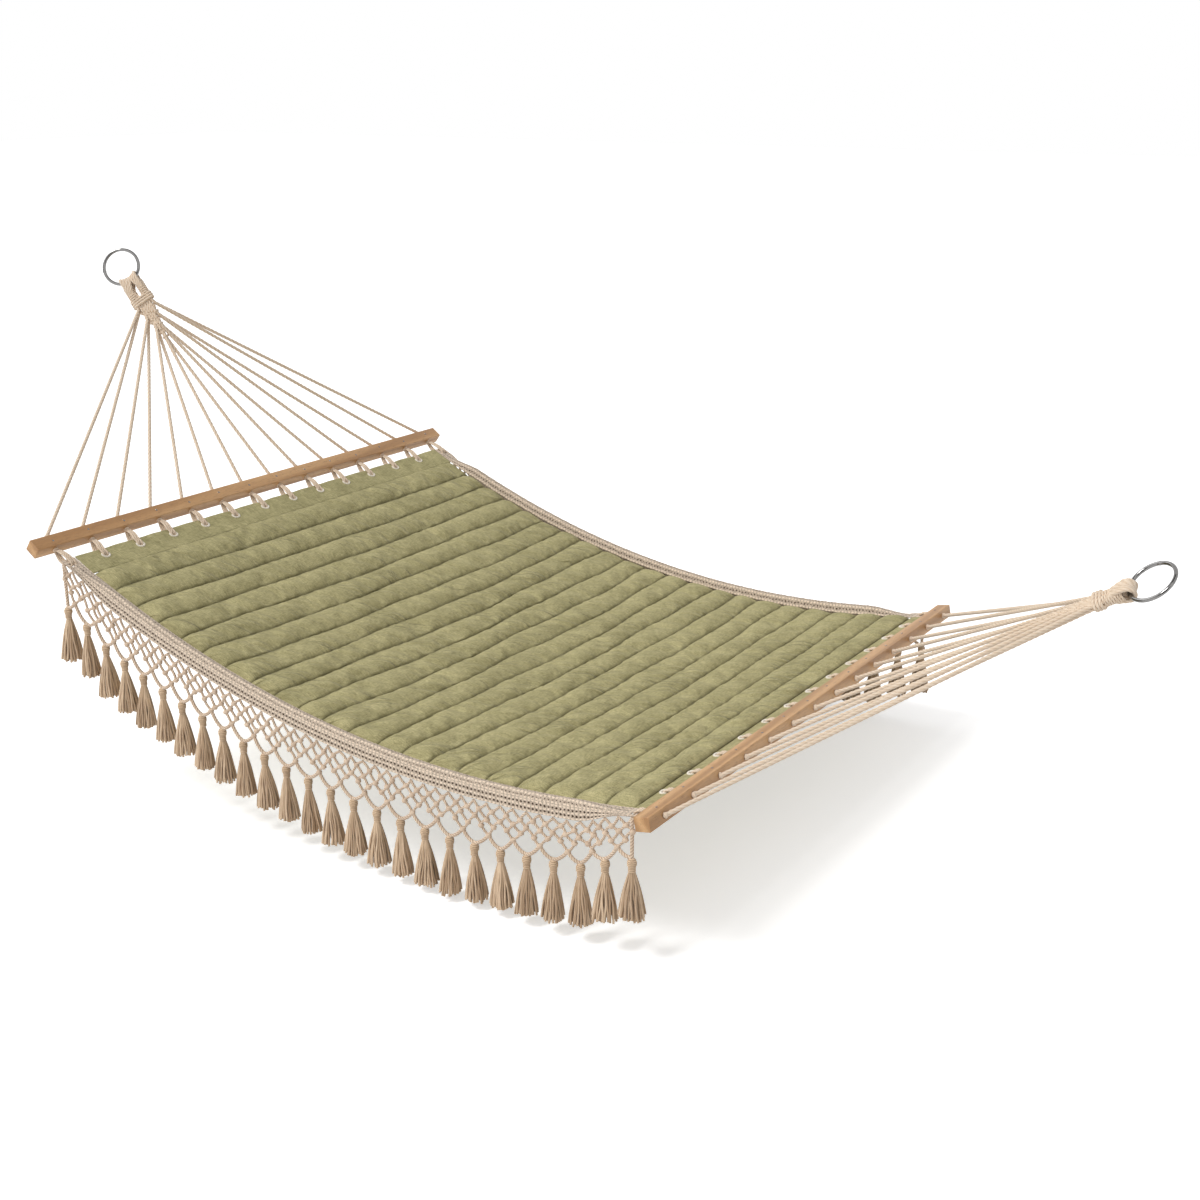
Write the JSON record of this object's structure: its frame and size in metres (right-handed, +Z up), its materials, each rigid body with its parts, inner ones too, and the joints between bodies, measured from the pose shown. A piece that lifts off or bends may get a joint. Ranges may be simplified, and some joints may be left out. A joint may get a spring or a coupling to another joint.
{
  "type": "padded hammock",
  "caption": "Quilted padded hammock between drilled hardwood spreader bars, with crochet side bands, a tasselled net fringe, and a fan of cords to a steel ring at each end.",
  "frame": {"origin": "the point on the inside of the head ring's far side where the hook bears", "axes": "+X from the head end to the foot end, +Y across the bed to its far side, +Z up"},
  "size_m": [2.7225, 1.4, 1.0889],
  "materials": {
    "quilt_cloth": "heathered sage green outdoor cloth, quilted across the bed",
    "wadding": "white polyester wadding",
    "cord_cotton": "light tan twisted cotton cord and crochet",
    "fringe_cotton": "tan cotton net and tassels",
    "hardwood": "medium brown varnished hardwood",
    "ring_steel": "polished steel"
  },
  "bodies": {
    "bed": {"quilt_top_cover": "quilt_cloth", "quilt_wadding": "wadding", "quilt_bottom_cover": "quilt_cloth", "head_hem": "quilt_cloth", "foot_hem": "quilt_cloth", "near_side_band": "cord_cotton", "far_side_band": "cord_cotton", "near_fringe": "fringe_cotton", "far_fringe": "fringe_cotton", "head_loop_01": "cord_cotton", "head_loop_02": "cord_cotton", "head_loop_03": "cord_cotton", "head_loop_04": "cord_cotton", "head_loop_05": "cord_cotton", "head_loop_06": "cord_cotton", "head_loop_07": "cord_cotton", "head_loop_08": "cord_cotton", "head_loop_09": "cord_cotton", "head_loop_10": "cord_cotton", "head_loop_11": "cord_cotton", "head_loop_12": "cord_cotton", "head_near_corner_loop": "cord_cotton", "head_far_corner_loop": "cord_cotton", "foot_loop_01": "cord_cotton", "foot_loop_02": "cord_cotton", "foot_loop_03": "cord_cotton", "foot_loop_04": "cord_cotton", "foot_loop_05": "cord_cotton", "foot_loop_06": "cord_cotton", "foot_loop_07": "cord_cotton", "foot_loop_08": "cord_cotton", "foot_loop_09": "cord_cotton", "foot_loop_10": "cord_cotton", "foot_loop_11": "cord_cotton", "foot_loop_12": "cord_cotton", "foot_near_corner_loop": "cord_cotton", "foot_far_corner_loop": "cord_cotton"},
    "head_bar": {"head_spreader_bar": "hardwood"},
    "head_fan": {"head_cord_1": "cord_cotton", "head_cord_2": "cord_cotton", "head_cord_3": "cord_cotton", "head_cord_4": "cord_cotton", "head_cord_5": "cord_cotton", "head_cord_6": "cord_cotton", "head_cord_7": "cord_cotton", "head_clew_binding": "cord_cotton"},
    "head_ring": {"head_ring": "ring_steel"},
    "foot_bar": {"foot_spreader_bar": "hardwood"},
    "foot_fan": {"foot_cord_1": "cord_cotton", "foot_cord_2": "cord_cotton", "foot_cord_3": "cord_cotton", "foot_cord_4": "cord_cotton", "foot_cord_5": "cord_cotton", "foot_cord_6": "cord_cotton", "foot_cord_7": "cord_cotton", "foot_clew_binding": "cord_cotton"},
    "foot_ring": {"foot_ring": "ring_steel"}
  },
  "joints": [
    {"name": "head_bar_swing", "type": "hinge", "parent": "bed", "child": "head_bar", "pos_m": [0.48207, 0, -0.55341], "axis": [0, 1, 0], "range_deg": [-45, 45]},
    {"name": "head_fan_swing", "type": "hinge", "parent": "head_bar", "child": "head_fan", "pos_m": [0.45304, 0, -0.53232], "axis": [0, 1, 0], "range_deg": [-75, 50]},
    {"name": "head_ring_swing", "type": "hinge", "parent": "head_fan", "child": "head_ring", "pos_m": [0.05574, 0, -0.06549], "axis": [-0.6238, -0.5736, -0.5309], "range_deg": [-90, 90]},
    {"name": "foot_bar_swing", "type": "hinge", "parent": "bed", "child": "foot_bar", "pos_m": [2.00002, 0, -0.7963], "axis": [0, -1, 0], "range_deg": [-45, 45]},
    {"name": "foot_fan_swing", "type": "hinge", "parent": "foot_bar", "child": "foot_fan", "pos_m": [2.03525, 0, -0.78946], "axis": [0, -1, 0], "range_deg": [-75, 50]},
    {"name": "foot_ring_swing", "type": "hinge", "parent": "foot_fan", "child": "foot_ring", "pos_m": [2.62155, 0, -0.45096], "axis": [-0.25, 0.866, 0.433], "range_deg": [-90, 90]}
  ]
}
